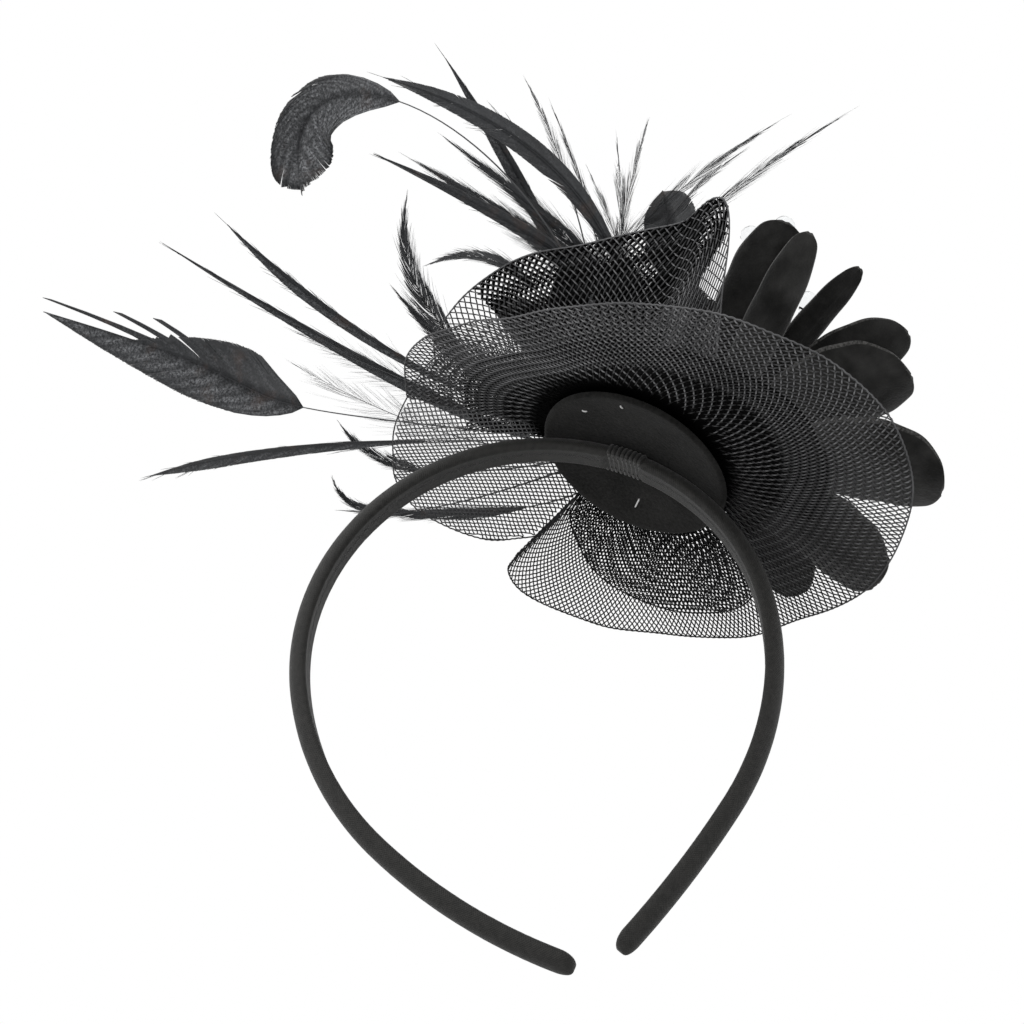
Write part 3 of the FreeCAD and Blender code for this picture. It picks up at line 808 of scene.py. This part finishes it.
# %% A fan with its edges
def crin_fan(name, node, rim, layer, gather=1.0, bulge=0.0, phase=0.0, laid=False, doubled=None):
    """One layer of crin, with a strand along its rim and both ends. doubled gives the shares of the rim's
    length between which it is folded double, and the share of the depth that the second layer leaves free."""
    grid, out, along = fan_surface(rim, layer, gather, bulge, phase)
    depth = np.linalg.norm(np.diff(grid, axis=1), axis=-1).sum(1)
    total, deepest = along[-1], depth.max()
    runs = laid_braid(grid, out, rim, crin_inner_radius + layer) if laid else braid(grid, out, depth)
    if doubled:
        # The lining's threads are painted dark as shade.
        runs += braid(grid, out, depth, lining_steep, *doubled, lining=True)
    threads = len(runs)
    edges = [(grid[:, -1], out)] + [(grid[end], np.tile(out[end], (grid.shape[1], 1))) for end in (0, -1)]
    for line, faces_out in edges:
        travel = distances(line)
        count = max(int(travel[-1] / (thread_pitch / 2)), 4)
        even = np.linspace(0, travel[-1], count)
        normals = look_up(even, travel, faces_out)
        points = look_up(even, travel, line) + normals * (edge_bob * (-1.0) ** np.arange(count))[:, None]
        # The edge strands' colour takes painted light too.
        runs.append((points, edge_thread, normals, edge_strand_light * painted_light_at(points)))
    piece = mesh_piece(name, *strands([(*run[:3], 1.0) for run in runs]))
    # Each point gets its thread's painted light, which the nylon reads as colour.
    mark(piece, "painted_light", [run[3] for run in runs])
    settle(piece, nylon, [node])
    area = float(np.sum((depth[1:] + depth[:-1]) / 2 * np.diff(along)))
    area *= 0.5 + 0.5 * float(distances(grid[:, 0])[-1]) / total
    if doubled:
        area *= 1 + (doubled[1] - doubled[0]) * (1 - doubled[2])
    flat = (float(deepest) * mm, float(total) * mm)
    area = max(area * mm**2, least_fill * flat[0] * flat[1])
    piece.data.calc_loop_triangles()
    print(name, threads, "threads", len(piece.data.loop_triangles), "triangles")
    return piece


print("edges:", 2 * edge_thread, "mm across")

# %% The four layers of crin
# Each rim is points of degrees round the disc, mm from its centre and mm of height, in the seat's axes.
saucer_rim = [
    (-184, 67, 2), (-170, 67, 2), (-157, 64, 1), (-140, 60, -2), (-123, 59, -4), (-106, 63, -5),
    (-89, 70, -5), (-76, 78, -4), (-64, 84, -4), (-47, 90, -2), (-34, 88, -1), (-21, 84, 0),
    (-6, 78, 0), (12, 73, -2), (34, 66, -4), (55, 67, -4), (70, 68, -4), (84, 71, -4),
    (96, 75, -4), (106, 78, -4), (114, 78, -4), (119, 72, -4), (121, 62, -4),
]
lobe_rim = [
    (120.5, 54, 0), (123, 61, 0), (127, 69, -1), (131, 75, -1), (136, 80, -1), (142, 85, -1),
    (149, 84, -1), (157, 78, -1), (166, 73, 0), (178, 66, 4), (192, 60, 5), (206, 55, 5),
]
fold_rim = [
    (24, 42, 4), (40, 53, 3), (56, 61, 1), (72, 62, 0), (88, 60, 0), (100, 56, 1), (110, 48, 3), (118, 38, 4),
]
cup_rim = [
    (182, 62, 11), (188, 64, 15), (196, 62, 22), (208, 58, 28), (220, 54, 32), (232, 49, 36),
    (243, 48, 38), (256, 49, 41), (268, 52, 44), (278, 62, 46), (289, 45, 30), (300, 38, 16),
]
crin_fan("saucer_crin", "crin_saucer", saucer_rim, 0, doubled=(0.0, 0.55, 0.35))
crin_fan("lobe_crin", "crin_left_lobe", lobe_rim, 1, phase=1.0, laid=True, doubled=(0.6, 1.0, 0.4))
crin_fan("fold_crin", "crin_lower_fold", fold_rim, 1, phase=2.0, laid=True)
crin_fan("cup_crin", "crin_cup", cup_rim, 2, 0.88, 3.0, phase=3.0, doubled=(0.2, 0.8, 0.0))

# %% [markdown]
# ## Flower
# Each petal is cut from stiffened velvet, pinched at its foot in the calyx, and pressed into a shallow cup
# with its edges turned up. A cut-out plane would stay flat: a grid is bent along a curve, widened to the
# petal's outline, and given a crease, a few waves and its cloth's thickness.
# %% A petal
petal_outline = (
    (0.0, 0.12), (0.18, 0.48), (0.38, 0.86), (0.6, 1.0), (0.82, 0.92), (0.95, 0.62), (0.99, 0.3), (1.0, 0.1),
)
crease_depth, crease_width, frill_start, cloth_thickness = 0.5, 0.09, 0.86, 0.45
calyx_radius, calyx_height, flower_shift = 5.0, 9.0, 18.0


def petal(name, heading, level, tip, width, bulge, cup, seed):
    """One petal, bent from its foot in the calyx to its tip."""
    angle = math.radians(heading)
    foot = calyx_radius + 1.0
    root = np.array((flower_shift + foot * math.cos(angle), foot * math.sin(angle), trim_floor + level))
    end = np.array(tip, float)
    bend = (root + end) / 2 + (0, 0, bulge)
    bpy.ops.object.select_all(action="DESELECT")
    bpy.ops.mesh.primitive_grid_add(x_subdivisions=18, y_subdivisions=26, size=1)
    piece = bpy.context.object
    piece.name = name
    places, shares = flow(petal_outline, 80).T
    chance = np.random.default_rng(seed)
    waves = [(chance.uniform(5, 11), chance.uniform(0, 6.3), chance.uniform(0.2, 0.5)) for _ in range(3)]
    frill = chance.uniform(0.5, 1.0)
    for vertex in piece.data.vertices:
        across, place = vertex.co.x * 2, 1 - (0.5 - vertex.co.y) ** 1.5
        share = float(np.interp(place, places, shares)) + 0.03 * math.sin(place * math.pi)
        middle = root * (1 - place) ** 2 + bend * (2 * place * (1 - place)) + end * place**2
        along = (bend - root) * (1 - place) + (end - bend) * place
        along = along / np.linalg.norm(along)
        side = np.cross((0, 0, 1.0), along)
        side = side / np.linalg.norm(side)
        inwards = np.cross(along, side)
        wavy = sum(size * math.sin(rate * place + 2 * across + late) for rate, late, size in waves)
        raised = cup * (share * across) ** 2 + wavy * abs(across) * place
        raised -= crease_depth * math.exp(-((across / crease_width) ** 2)) * math.sin(place * math.pi)
        raised += frill * max(abs(across) - frill_start, 0) * 9 * math.sin(place * math.pi)
        spread = across * (1 + 0.02 * math.sin(31 * place + seed))
        vertex.co = middle + side * (width / 2 * share * spread) + inwards * (raised + 0.35)
    area = sum(face.area for face in piece.data.polygons) * mm**2
    length = float(np.linalg.norm(end - root)) * 1.05 * mm
    apply_modifier(piece, "round", "SUBSURF", levels=1, render_levels=1)
    apply_modifier(piece, "cloth", "SOLIDIFY", thickness=cloth_thickness, offset=0)
    settle(piece, velvet, [name.replace("_velvet", "")])
    wide = max(width * 1.15 * mm, area / length)
    area = max(area, least_fill * wide * length)


print("petal outline:", len(petal_outline), "points")

# %% The calyx
bpy.ops.object.select_all(action="DESELECT")
bpy.ops.mesh.primitive_cylinder_add(
    vertices=60, radius=calyx_radius, depth=calyx_height, end_fill_type="NGON"
)
calyx = bpy.context.object
calyx.name = "calyx_bud"
bpy.ops.object.mode_set(mode="EDIT")
bpy.ops.mesh.select_all(action="DESELECT")
bpy.ops.object.mode_set(mode="OBJECT")
for face in calyx.data.polygons:
    face.select = face.normal.z > 0.9
bpy.ops.object.mode_set(mode="EDIT")
for inward, rise in ((0.8, 0.6), (0.8, 0.3), (0.6, -0.2), (1.2, -0.6)):
    bpy.ops.mesh.inset(thickness=inward, depth=rise)
bpy.ops.object.mode_set(mode="OBJECT")
apply_modifier(calyx, "rows", "SUBSURF", levels=2, render_levels=2)
for vertex in calyx.data.vertices:
    x, y, z = vertex.co
    pleat = 1 + 0.07 * math.cos(14 * math.atan2(y, x)) * (0.4 + z / calyx_height)
    pinch = 0.82 + 0.16 * math.sin((z / calyx_height + 0.5) * math.pi * 0.8)
    vertex.co = (x * pleat * pinch + flower_shift, y * pleat * pinch, z + trim_floor + calyx_height / 2)
settle(calyx, velvet, ["flower_calyx"])
print("calyx:", len(calyx.data.polygons), "faces")

# %% The petals
# Name, heading round the calyx, height of the foot on it, tip, width, bulge and cup, in degrees and mm.
petals = [
    ("right", -1, 1.4, (81, 5, 29), 34, 4, 5), ("right_upper", -22, 2.8, (65, -22, 42), 28, 3, 5),
    ("right_lower", 36, 0.8, (71, 30, 10), 31, 2, 4), ("lower", 58, 2.8, (46, 57, 16), 22, 7, 4),
    ("back", 106, 0.8, (8, 54, 25), 22, 4, 5), ("back_left", 134, 2.8, (-14, 34, 34), 20, 5, 5),
    ("top_right", -34, 4.6, (60, -24, 54), 20, 4, 3), ("top_narrow", -50, 7.8, (44, -41, 56), 8, 2, 2),
    ("top", -98, 2.8, (22, -49, 57), 20, 0, 4), ("top_fold", -80, 0.8, (31, -55, 50), 11, 0, 3),
    ("left", -140, 4.8, (2, -22, 46), 17, 2, 4), ("heart_front", -166, 6.6, (6, -5, 46), 14, 0, 5),
    ("heart_right", -20, 6.6, (36, -3, 46), 14, 0, 5), ("heart_back", 100, 6.6, (16, 17, 45), 14, 0, 5),
]
for seed, (name, *shape) in enumerate(petals):
    petal("petal_" + name + "_velvet", *shape, seed)
print("flower:", len(petals), "petals round a calyx")

# %% [markdown]
# ## Clear drops
# A few clear drops stand among the petals on hair-thin stems. Drawn as a profile and turned, they are true
# drops, pointed at the stem, and clear enough that only their rims show.
# %% Drops on stems
drop_radius, stem_radius, drop_gather = 3.0, 0.22, 0.16
calyx_top = trim_floor + calyx_height + 0.3
drop_runs = []
for x, y, height in ((10, -30, 66), (17, -30, 73), (24, -30, 66), (30, -20, 58), (16, -19, 60)):
    foot = np.array((flower_shift + (x - flower_shift) * drop_gather, y * drop_gather, calyx_top))
    centre = np.array((x, y, height), float)
    reach = np.linalg.norm(centre - foot)
    direction = (centre - foot) / reach
    stem = np.linspace(0, reach - 1.7 * drop_radius, 12)
    heights = np.concatenate([stem, reach + drop_radius * np.linspace(-1.5, 0.995, 16)])
    up = (heights - reach) / drop_radius
    ball = drop_radius * np.sqrt(np.maximum(1 - up**2, 0))
    neck = stem_radius + drop_radius * 0.9 * np.clip((up + 1.6) / 1.3, 0, 1) ** 2
    radii = np.where(up < -0.35, neck, ball)
    line = foot + direction * heights[:, None]
    drop_runs.append((line, np.maximum(radii, 0.12), (0, 1.0, 0), 1.0))
drops = mesh_piece("drops", *strands(drop_runs, 24))
settle(drops, clear, ["flower_drops"])
print("drops:", len(drop_runs))

# %% [markdown]
# ## Feathers
# A feather is a tapering shaft with rows of fine barbs on both sides. A card with a picture of one has no
# edge light and no gaps. Every barb here is a thin strand set at its angle to the shaft. A smooth vane sets
# them close and flat with a few splits, a hackle sets them wide apart, and fluff lets them wander.
# %% The collar round the quills
collar_radius, collar_height, collar_place = 6.4, 3.6, (-2.0, 4.0)
collar_turns, collar_cord = 7, 0.27
winding = np.linspace(0, collar_turns * 2 * math.pi, collar_turns * 40)
spiral = np.stack([
    collar_place[0] + (collar_radius - collar_cord) * np.cos(winding),
    collar_place[1] + (collar_radius - collar_cord) * np.sin(winding),
    trim_floor + collar_cord + (collar_height - 2 * collar_cord) * winding / winding[-1],
], -1)
core_line = np.array([(*collar_place, trim_floor + 0.05 + k * (collar_height - 0.1) / 3) for k in range(4)])
collar_runs = [
    (spiral, collar_cord, (0, 0, 1.0), 1.0),
    (core_line, collar_radius - 2 * collar_cord, (0, 1.0, 0), 1.0),
]
collar = mesh_piece("quill_collar", *strands(collar_runs, 12))
settle(collar, cord_cloth, ["feather_collar"])
print("collar:", collar_turns, "turns of cord")

# %% How each kind of feather carries its barbs
# mm between barbs, how far forward one runs as a share of the vane, its radius in mm, how untidy it is, and
# the shares of clumps split from the rest and of barbs that are long loose hairs
kinds = {
    "vane": (0.20, 0.22, 0.21, 0.03, 0.04, 0.00),
    "fan": (0.17, 0.46, 0.19, 0.03, 0.45, 0.00),
    "blade": (0.26, 0.12, 0.18, 0.03, 0.03, 0.03),
    "hackle": (0.26, 0.26, 0.11, 0.30, 0.45, 0.35),
    "wisp": (0.75, 0.20, 0.06, 0.45, 0.60, 0.35),
    "fluff": (0.70, 0.24, 0.04, 1.00, 0.30, 0.50),
}
quill_width, barb_curl, barb_flatness = 0.9, 0.05, 0.4
vane_facing = np.array((0, -0.8, -0.6))


print("kinds:", list(kinds))


# %% One feather's barbs
def bezier(guides, places):
    """A curve's points. Its ends are the first and last guides, and the rest draw it towards them."""
    order = len(guides) - 1
    weights = [math.comb(order, k) * places**k * (1 - places) ** (order - k) for k in range(order + 1)]
    return sum(weight[:, None] * np.array(guide, float) for weight, guide in zip(weights, guides))


def half_width(share, belly, blunt):
    """A vane's outline from its foot to its tip: full at belly, and rounder at the tip as blunt rises."""
    rise = np.sin(np.clip(share / belly, 0, 1) * math.pi / 2) ** 0.8
    return rise * (1 - np.clip((share - belly) / (1 - belly), 0, 1) ** (1.2 + 3 * blunt))


def barb_rows(kind, chance, side, width, length, belly, blunt, ends_at):
    """Where the barbs of one side leave the shaft, where they end, and how far out."""
    spacing, forward, barb, untidy, split, hairs = kinds[kind]
    count = max(int(length * ends_at / spacing), 6)
    root = (np.arange(count) + 0.3 * chance.random(count)) / count
    end = root + forward / ends_at * (1 - root) ** 0.6
    out = width * half_width(end, belly, blunt)
    clump = np.cumsum(chance.random(count) < 0.09)
    clump -= clump[0]
    torn = chance.random(clump[-1] + 1) < split
    pull = np.where(torn, chance.uniform(0.35, 0.9, clump[-1] + 1), 0.04)[clump]
    middle = (np.bincount(clump, end) / np.bincount(clump))[clump]
    end = end + pull * (middle - end)
    out = out * (1 + untidy * chance.normal(0, 0.3, count))
    lift = (chance.normal(0, 0.12 + untidy, clump[-1] + 1))[clump]
    hair = chance.random(count) < hairs
    out = np.where(hair, out * chance.uniform(1.1, 1.8, count), out)
    end = np.where(hair, end + chance.uniform(0, 0.08, count), end)
    thick = np.where(hair, 0.5, 1.0) * barb
    return root * ends_at, end * ends_at, np.abs(out) * side, lift, thick


print("barb helpers ready")


# %% One feather
def feather(name, kind, ring, bend, tip, vane_start, vane_width, second_bend=None,
            belly=0.45, blunt=0.1, halves=((1.0, 1.0), (1.0, 1.0)), tufts=(), silver=(0.12, 0.12), seed=0):
    """One feather. halves gives each side's share of the width and of the length, upper side first, silver
    how much painted sheen that side's barbs get, and a tuft is a clump of barbs on its own."""
    chance = np.random.default_rng(seed)
    centre = np.array((*collar_place, 0))
    away = np.array((bend[0], bend[1], 0)) - centre
    reach = collar_radius + 0.3 + quill_width / 2
    lift = trim_floor + quill_width * (1 + 1.5 * ring)
    root = centre + away / np.linalg.norm(away) * reach + (0, 0, lift)
    guides = [root, bend, tip] if second_bend is None else [root, bend, second_bend, tip]
    fine = np.linspace(0, 1, 241)
    line = bezier(guides, fine)
    line = np.vstack([line, 2 * line[-1] - line[-12]])
    travel = distances(line)
    heading = length_rows(np.gradient(line, axis=0))
    sides = length_rows(np.cross(heading, vane_facing))
    ups = np.cross(sides, heading)
    start, end = np.interp(vane_start, fine, travel[:-1]), travel[-2]
    shaft = np.linspace(0, end, 40)
    thick = quill_width / 2 * np.interp(shaft, (0, start, end), (0.9, 0.5, 0.12))
    runs = [(look_up(shaft, travel, line), thick, look_up(shaft, travel, ups), 1.0)]
    pale_and_painted_light = [np.zeros(len(shaft))]
    rows = []
    for side, (share, ends_at) in zip((1, -1), halves):
        rows.append(barb_rows(kind, chance, side, vane_width / 2 * share, end - start, belly, blunt, ends_at))
    for side, first, last, tuft_end, tuft_out in tufts:
        roots = np.linspace(first, last, 16)
        ends = np.linspace(tuft_end - 0.03, tuft_end, 16)
        outs = side * vane_width / 2 * tuft_out * np.linspace(1.02, 0.98, 16)
        rows.append((roots, ends, outs, np.zeros(16), np.full(16, kinds[kind][2])))
    steps = np.linspace(0, 1, 6)
    for leaves, stops, out, rise, thickness in rows:
        place = leaves[:, None] + (stops - leaves)[:, None] * steps**1.1
        at = start + place * (end - start)
        across = out[:, None] * steps**0.8
        raised = (barb_curl * np.abs(out) + rise)[:, None] * steps**2
        points = look_up(at, travel, line) + look_up(at, travel, sides) * across[..., None]
        normals = look_up(at, travel, ups)
        points += normals * raised[..., None]
        ends = (1.0, 0.6) if kind in ("vane", "fan") else (0.9, 0.2)
        taper = np.interp(steps, (0, 0.15, 0.8, 1), (0.8, 1.0, *ends))
        # Painted sheen: each side's share, varied from barb to barb and strongest midway along each barb.
        side_sheen = silver[0] if out.mean() > 0 else silver[1]
        for k in range(len(leaves)):
            runs.append((points[k], thickness[k] * taper, normals[k], barb_flatness))
            patchy = 0.35 + 0.65 * math.sin(leaves[k] * 43 + seed) ** 2
            pale_and_painted_light.append(side_sheen * patchy * np.sin((steps + 0.15) * 2.6))
    piece = mesh_piece(name.replace("feather_", "") + "_feather", *strands(runs))
    mark(piece, "silver", pale_and_painted_light)
    settle(piece, plumage, [name])
    return len(piece.data.polygons)


print("quills", quill_width, "mm thick")

# %% The spray
# Name, kind, ring of the collar, bend, tip, where the vane starts and its width, in mm and shares.
# Some feathers get a painted sheen on their barbs, more on the second side: the webbed ones, the goose and
# the curled feather.
web = dict(halves=((0.6, 1.0), (1.3, 1.0)), silver=(0.0, 0.45))
spray = [
    ("goose", "vane", 0, (-175, 61, 8), (-208, 48, 20), 0.35, 22, dict(
        second_bend=(-86, 39, 20), belly=0.42, halves=((1.0, 0.66), (0.95, 1.0)), silver=(0.25, 0.9),
        tufts=((1, 0.36, 0.60, 1.02, 0.40), (1, 0.36, 0.46, 0.76, 0.60), (1, 0.28, 0.34, 0.62, 0.78)))),
    ("stripped", "blade", 0, (-109, 49, 11), (-174, 104, 10), 0.3, 4, dict(belly=0.72, **web)),
    ("biot_long", "blade", 0, (-40, 49, 24), (-168, 19, 38), 0.3, 4, dict(belly=0.3, **web)),
    ("biot_short", "blade", 1, (-82, 33, 24), (-147, 5, 42), 0.3, 3.4, dict(belly=0.7, **web)),
    ("curled", "fan", 1, (-37, -82, 52), (-128, -4, 56), 0.54, 18, dict(
        second_bend=(-163, -23, 103), belly=0.8, blunt=1.0, halves=((0.95, 1.0), (1.25, 1.0)),
        silver=(0.85, 1.25))),
    ("sickle", "blade", 1, (-7, -67, 49), (-105, -43, 72), 0.3, 6.4, dict(belly=0.5, blunt=0.3)),
    ("pointed", "blade", 1, (-30, -8, 52), (-91, -45, 84), 0.4, 4.4, dict(belly=0.5, **web)),
    ("swept_low", "blade", 0, (16, -30, 38), (-99, -33, 52), 0.45, 4, dict(belly=0.4)),
    ("swept_middle", "hackle", 0, (10, -13, 41), (-79, -33, 64), 0.35, 6, dict(belly=0.3)),
    ("swept_high", "hackle", 0, (7, -20, 39), (-88, -28, 58), 0.35, 6, dict(belly=0.3)),
    ("tall", "wisp", 1, (-36, -38, 58), (-68, -42, 88), 0.5, 2.5, {}),
    ("tall_small", "wisp", 1, (-14, 0, 48), (-58, -39, 84), 0.5, 2, {}),
    ("upright_left", "wisp", 1, (-10, -14, 45), (-42, -28, 74), 0.5, 2.5, {}),
    ("upright_middle", "wisp", 1, (-20, -31, 48), (-36, -38, 80), 0.4, 3.5, dict(belly=0.3)),
    ("upright_right", "wisp", 1, (-28, -20, 51), (-29, -42, 86), 0.4, 3.5, dict(belly=0.3)),
    ("round", "vane", 0, (1, -35, 45), (-18, -33, 70), 0.5, 15, dict(belly=0.5, blunt=1.0)),
    ("wisp_long", "wisp", 0, (-39, -8, 45), (26, -64, 84), 0.4, 4, dict(belly=0.3)),
    ("wisp_middle", "wisp", 0, (-55, -4, 43), (10, -60, 80), 0.4, 4, dict(belly=0.3)),
    ("wisp_short", "wisp", 0, (-26, -34, 40), (3, -51, 76), 0.4, 3, {}),
    ("hackle", "hackle", 0, (-88, 15, 28), (-90, -18, 52), 0.42, 6, dict(belly=0.4)),
    ("hackle_small", "hackle", 1, (-57, 28, 28), (-88, 6, 38), 0.45, 4, {}),
    ("plume", "hackle", 1, (-44, -38, 42), (-81, -1, 46), 0.45, 4, dict(halves=((1.0, 1.0), (0.4, 1.0)))),
    ("fluff_long", "fluff", 0, (-69, 32, 24), (-119, 28, 29), 0.4, 10, dict(belly=0.3)),
    ("fluff_short", "fluff", 0, (-53, 42, 12), (-116, 30, 19), 0.4, 10, dict(belly=0.3)),
    ("low_upper", "hackle", 0, (-84, 76, 14), (-97, 42, 12), 0.5, 3, {}),
    ("low_middle", "hackle", 0, (-92, 94, 4), (-100, 67, 8), 0.5, 3, {}),
    ("low_lower", "hackle", 0, (-18, 51, 11), (-96, 80, 8), 0.5, 3, {}),
    ("pad_left", "vane", 0, (-26, -13, 26), (-55, -8, 34), 0.2, 13, dict(blunt=0.6)),
    ("pad_upper", "vane", 0, (-17, -17, 16), (-33, -31, 37), 0.06, 17, dict(blunt=0.8)),
    ("pad_middle", "vane", 0, (-10, -20, 14), (-16, -37, 39), 0.06, 19, dict(blunt=0.8)),
    ("pad_right", "vane", 0, (-1, -21, 19), (2, -40, 43), 0.06, 20, dict(blunt=0.8)),
]
for seed, (name, *shape, extras) in enumerate(spray):
    made = feather("feather_" + name, *shape, seed=seed, **extras)
    print(name, made, "faces")
